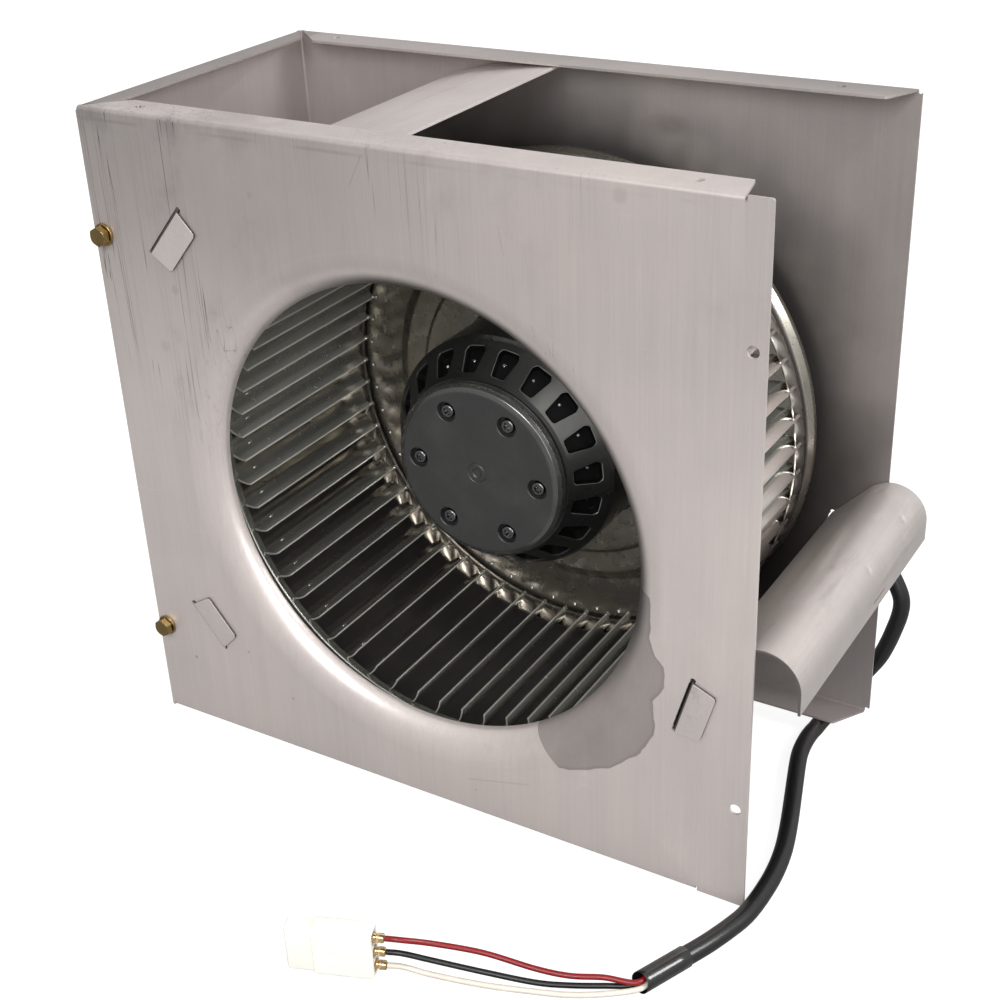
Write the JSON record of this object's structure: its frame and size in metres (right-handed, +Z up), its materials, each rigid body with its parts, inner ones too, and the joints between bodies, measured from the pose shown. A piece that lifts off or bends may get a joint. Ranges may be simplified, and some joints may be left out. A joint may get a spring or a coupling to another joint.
{
  "type": "combustion fan",
  "caption": "Single-inlet forward-curved blower: squirrel-cage impeller around an external-rotor motor, in an open sheet-metal scroll casing with cable and plug.",
  "frame": {"origin": "on the top face of the front plate's outlet flange; the fan axis runs 60 mm to the left (-X) of it and 145.5 mm below it, and the back plate's outer face is 131.6 mm behind it (+Y)", "axes": "+Y along the fan axis, out of the back plate, so the inlet looks along -Y; +Z up; +X to the right seen from the inlet, towards the outlet"},
  "size_m": [0.297, 0.2642, 0.2818],
  "materials": {
    "sheet_galvanised": "bare hot-dip galvanised sheet, rolled grain, handling marks",
    "impeller_zinc": "bright galvanised strip, crimped",
    "hub_zinc": "bright galvanised pressing",
    "screw_brass": "yellow-passivated zinc on steel, hexagon head",
    "washer_brass": "yellow-passivated zinc on steel",
    "nut_zinc": "zinc plated",
    "screw_zinc": "zinc plated",
    "flange_diecast": "as cast",
    "lamination": "stacked electrical sheet",
    "winding_copper": "varnished copper winding",
    "bearing_steel": "ground bearing steel",
    "rotor_black": "black stove enamel, semi-gloss",
    "cap_black": "black enamel, satin",
    "screw_black": "blackened steel, socket head",
    "cable_pvc": "smooth black PVC sheath",
    "grommet_rubber": "moulded rubber",
    "sleeve_black": "shrink sleeve",
    "wire_red": "PVC insulation",
    "wire_black": "PVC insulation",
    "wire_white": "PVC insulation",
    "plug_nylon": "natural nylon moulding",
    "terminal_brass": "stamped brass crimp"
  },
  "bodies": {
    "casing": {"front_plate": "sheet_galvanised", "back_side_panel": "sheet_galvanised", "scroll_wrap": "sheet_galvanised", "side_screw_upper": "screw_brass", "side_screw_lower": "screw_brass", "side_washer_upper": "washer_brass", "side_washer_lower": "washer_brass", "side_nut_upper": "nut_zinc", "side_nut_lower": "nut_zinc", "motor_flange": "flange_diecast", "motor_screw_1": "screw_zinc", "motor_screw_2": "screw_zinc", "motor_screw_3": "screw_zinc", "motor_screw_4": "screw_zinc", "stator_core": "lamination", "winding_front": "winding_copper", "winding_rear": "winding_copper", "bearing_front_outer": "bearing_steel", "bearing_rear_outer": "bearing_steel", "preload_washer": "bearing_steel", "cable_sheath": "cable_pvc", "cable_grommet": "grommet_rubber", "cable_end_sleeve": "sleeve_black", "connector_housing": "plug_nylon", "terminal_red": "terminal_brass", "terminal_black": "terminal_brass", "terminal_white": "terminal_brass", "red_wire": "wire_red", "black_wire": "wire_black", "white_wire": "wire_white"},
    "rotor": {"impeller_blade_cage": "impeller_zinc", "impeller_hub_disc": "hub_zinc", "rotor_bell": "rotor_black", "rotor_front_cap": "cap_black", "cap_screw_1": "screw_black", "cap_screw_2": "screw_black", "cap_screw_3": "screw_black", "cap_screw_4": "screw_black", "cap_screw_5": "screw_black", "cap_screw_6": "screw_black", "rotor_core": "lamination", "motor_shaft": "bearing_steel", "shaft_circlip": "bearing_steel", "bearing_front_inner": "bearing_steel", "bearing_rear_inner": "bearing_steel"},
    "front_ball_cage": {"bearing_front_ball_cage": "bearing_steel"},
    "rear_ball_cage": {"bearing_rear_ball_cage": "bearing_steel"}
  },
  "joints": [
    {"name": "impeller_spin", "type": "hinge", "parent": "casing", "child": "rotor", "pos_m": [-0.06, 0.0616, -0.1455], "axis": [0, 1, 0], "continuous": true},
    {"name": "front_ball_cage_spin", "type": "hinge", "parent": "casing", "child": "front_ball_cage", "pos_m": [-0.06, 0.0618, -0.1455], "axis": [0, 1, 0], "continuous": true},
    {"name": "rear_ball_cage_spin", "type": "hinge", "parent": "casing", "child": "rear_ball_cage", "pos_m": [-0.06, 0.1141, -0.1455], "axis": [0, 1, 0], "continuous": true}
  ],
  "couplings": [
    {"joint": "front_ball_cage_spin", "follows": "impeller_spin", "ratio": 0.4},
    {"joint": "rear_ball_cage_spin", "follows": "impeller_spin", "ratio": 0.4}
  ]
}
